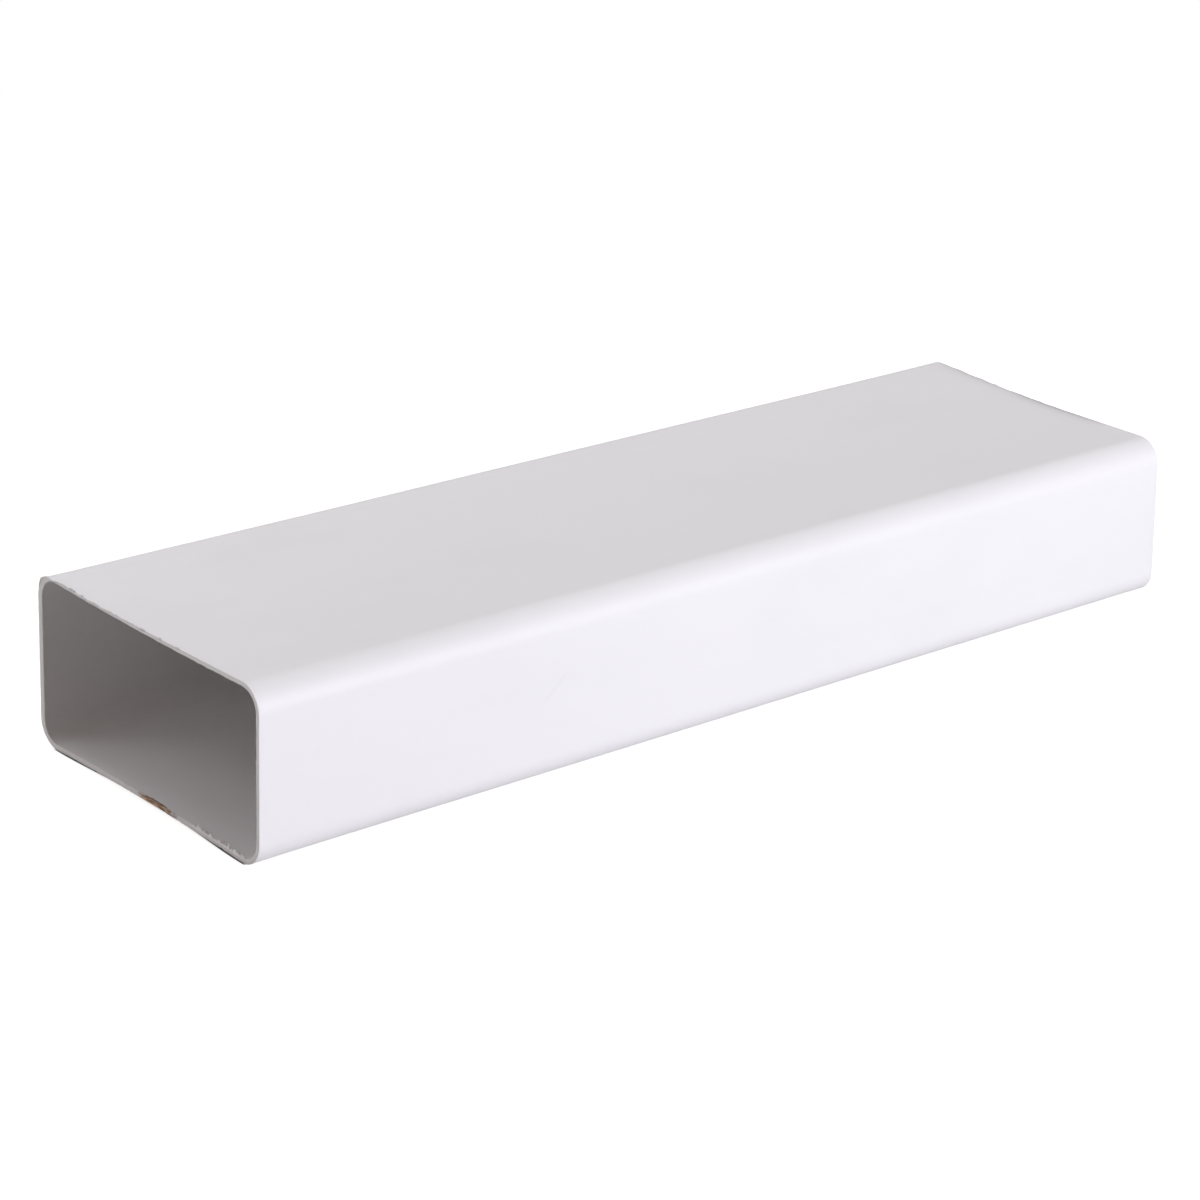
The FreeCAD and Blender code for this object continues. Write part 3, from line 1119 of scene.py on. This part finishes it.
def studio_camera(studio):
    """Camera at the viewing angle, looking along its heading and tilt at the aim."""
    sensor = 36.0
    heading = Vector((math.sin(studio.turn), math.cos(studio.turn), 0.0))
    sight = heading * math.cos(studio.tilt) - Vector((0.0, 0.0, math.sin(studio.tilt)))
    data = bpy.data.cameras.new("studio_camera")
    data.sensor_width = sensor
    data.lens = studio.lens
    camera = bpy.data.objects.new("studio_camera", data)
    camera.location = Vector(studio.aim) - sight * studio.distance
    camera.rotation_mode = "QUATERNION"
    upright = sight.to_track_quat("-Z", "Y")
    camera.rotation_quaternion = upright @ Quaternion((0.0, 0.0, 1.0), studio.roll)
    bpy.context.scene.collection.objects.link(camera)
    return camera


def studio_floor(studio, sizes):
    """Wide flat floor, just under the duct."""
    half = 4.0
    drop = 0.00005
    turns = np.array([(-1, -1), (1, -1), (1, 1), (-1, 1)])
    corners = np.column_stack([half * turns, np.full(len(turns), -drop)])
    paper = floor_material(studio, sizes)
    return mesh_object("studio_floor", corners, np.array([(0, 1, 2, 3)]), [paper], [0])


# Operators

def shaped_duct(scene):
    """Outline of the duct and its two sawn ends."""
    outline = Outline(scene.duct_section)
    ends = [SawnEnd(outline, scene.duct_section, scene.duct_saw_cut, side) for side in (NEAR_END, FAR_END)]
    return outline, ends


def material_named(name, make, finish):
    """The material of that name, made on first use."""
    return bpy.data.materials.get(name) or make(finish)


class DUCT_OT_extruded_tube(bpy.types.Operator):
    """Build the extruded tube with its torn saw cuts"""

    bl_idname = "duct.extruded_tube"
    bl_label = "Extruded Tube"

    def execute(self, context):
        scene = context.scene
        outline, (near, far) = shaped_duct(scene)
        rings, dirt, sawn = tube_rings(outline, scene.duct_section, near, far)
        quads, strips = tube_faces(len(rings), len(outline.run))
        materials = [
            material_named("white_pvc_skin", skin_material, scene.duct_finish),
            material_named("sawn_pvc", sawn_material, scene.duct_finish),
        ]
        indices = np.isin(strips, list(sawn)).astype(np.int32)
        points = sagged(np.concatenate(rings), scene.duct_section)
        tube = mesh_object("extruded_tube", points, quads, materials, indices)
        carried = tube.data.attributes.new(SAW_DIRT_AND_SHADE, "FLOAT", "POINT")
        carried.data.foreach_set("value", np.concatenate(dirt).astype(np.float32))
        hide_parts("duct")
        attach(tube, BODY)
        return {"FINISHED"}


class DUCT_OT_saw_burrs(bpy.types.Operator):
    """Add the slivers of plastic that the saw left on the edges"""

    bl_idname = "duct.saw_burrs"
    bl_label = "Saw Burrs"

    def execute(self, context):
        scene = context.scene
        cut = scene.duct_saw_cut
        outline, ends = shaped_duct(scene)
        points, quads = [], []
        count = 0
        for end in ends:
            for sliver_points, sliver_quads in self.slivers(outline, end, cut):
                points.append(sliver_points)
                quads.append(sliver_quads + count)
                count += len(sliver_points)
        materials = [material_named("sawn_pvc", sawn_material, scene.duct_finish)]
        quads = np.concatenate(quads)
        points = sagged(np.concatenate(points), scene.duct_section)
        burrs = mesh_object("saw_burrs", points, quads, materials, np.zeros(len(quads), np.int32))
        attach(burrs, BODY)
        return {"FINISHED"}

    def slivers(self, outline, end, cut):
        """Slivers of one end: the lip's long burr first, then small ones on the inner edge."""
        rng = np.random.default_rng([cut.seed, end.side + BURR_DRAWS])
        inner_edge = end.place(end.recess, end.wall - end.inner_break)
        if end.side == NEAR_END:
            for across in np.linspace(LIP_BURR_FROM, LIP_BURR_TO, LIP_BURR_COUNT):
                index = outline.nearest(across, 0.0)
                reach = cut.burr_reach * rng.uniform(*LIP_BURR_REACHES)
                length = rng.uniform(*LIP_BURR_LENGTHS)
                yield self.sliver(outline, end, inner_edge, index, length, reach, rng)
        for index in rng.integers(0, len(outline.run), cut.loose_burrs):
            reach = cut.burr_reach * rng.uniform(*SMALL_BURR_REACHES)
            length = rng.uniform(*SMALL_BURR_LENGTHS)
            yield self.sliver(outline, end, inner_edge, index, length, reach, rng)

    def sliver(self, outline, end, edge, index, length, reach, rng):
        """One sliver on the inner edge, standing into the opening and bent a little into the duct."""
        bent = np.array([-end.side * rng.uniform(*BURR_BENDS), 0.0, 0.0])
        inward = np.array([0.0, *-outline.outward[index]])
        away = inward + bent
        away /= np.linalg.norm(away)
        along = np.array([0.0, -outline.outward[index][1], outline.outward[index][0]])
        over = np.cross(along, away)
        return flake(edge[index], along, away, over, length, reach, rng)


class DUCT_OT_studio(bpy.types.Operator):
    """Set up the floor, the lights and the camera"""

    bl_idname = "duct.studio"
    bl_label = "Studio"

    def execute(self, context):
        scene = context.scene
        studio = scene.duct_studio
        middle = Vector((0.0, 0.0, DUCT_HEIGHT / 2))
        white_world(studio)
        for name, turn, rise, power, colour in (
            ("key_softbox", KEY_TURN, KEY_RISE, studio.key_power, COOL_LIGHT),
            ("far_softbox", FAR_TURN, FAR_RISE, studio.far_power, PLAIN_LIGHT),
            ("side_softbox", SIDE_TURN, SIDE_RISE, studio.side_power, PLAIN_LIGHT),
            ("back_softbox", BACK_TURN, BACK_RISE, studio.back_power, PLAIN_LIGHT),
            ("end_softbox", END_TURN, END_RISE, studio.end_power, SOFT_LIGHT),
        ):
            place = around(middle, turn, rise, SOFTBOX_DISTANCE)
            softbox(name, place, middle, SOFTBOX_SIZE, power, colour)
        studio_floor(studio, scene.duct_section)
        scene.camera = studio_camera(studio)
        scene.view_settings.view_transform = "Standard"
        return {"FINISHED"}


PROPERTY_GROUPS = (
    ("duct_section", DuctSection),
    ("duct_saw_cut", SawCut),
    ("duct_finish", DuctFinish),
    ("duct_studio", Studio),
)
OPERATORS = (DUCT_OT_extruded_tube, DUCT_OT_saw_burrs, DUCT_OT_studio)


class DUCT_PT_panel(bpy.types.Panel):
    """Sizes, finish and steps of the duct"""

    bl_idname = "DUCT_PT_panel"
    bl_label = "Flat Channel Duct"
    bl_space_type = "VIEW_3D"
    bl_region_type = "UI"
    bl_category = "Duct"

    def draw(self, context):
        for attribute, group in PROPERTY_GROUPS:
            box = self.layout.box()
            box.label(text=group.__doc__)
            for name in group.__annotations__:
                box.prop(getattr(context.scene, attribute), name)
        for operator in OPERATORS:
            self.layout.operator(operator.bl_idname)


CLASSES = tuple(group for attribute, group in PROPERTY_GROUPS) + OPERATORS + (DUCT_PT_panel,)


def register():
    for item in CLASSES:
        bpy.utils.register_class(item)
    for attribute, group in PROPERTY_GROUPS:
        setattr(bpy.types.Scene, attribute, bpy.props.PointerProperty(type=group))


def unregister():
    for attribute, group in PROPERTY_GROUPS:
        delattr(bpy.types.Scene, attribute)
    for item in reversed(CLASSES):
        bpy.utils.unregister_class(item)


def main():
    register()
    bpy.ops.duct.extruded_tube()
    bpy.ops.duct.saw_burrs()
    bpy.ops.duct.studio()


if __name__ == "__main__":
    main()
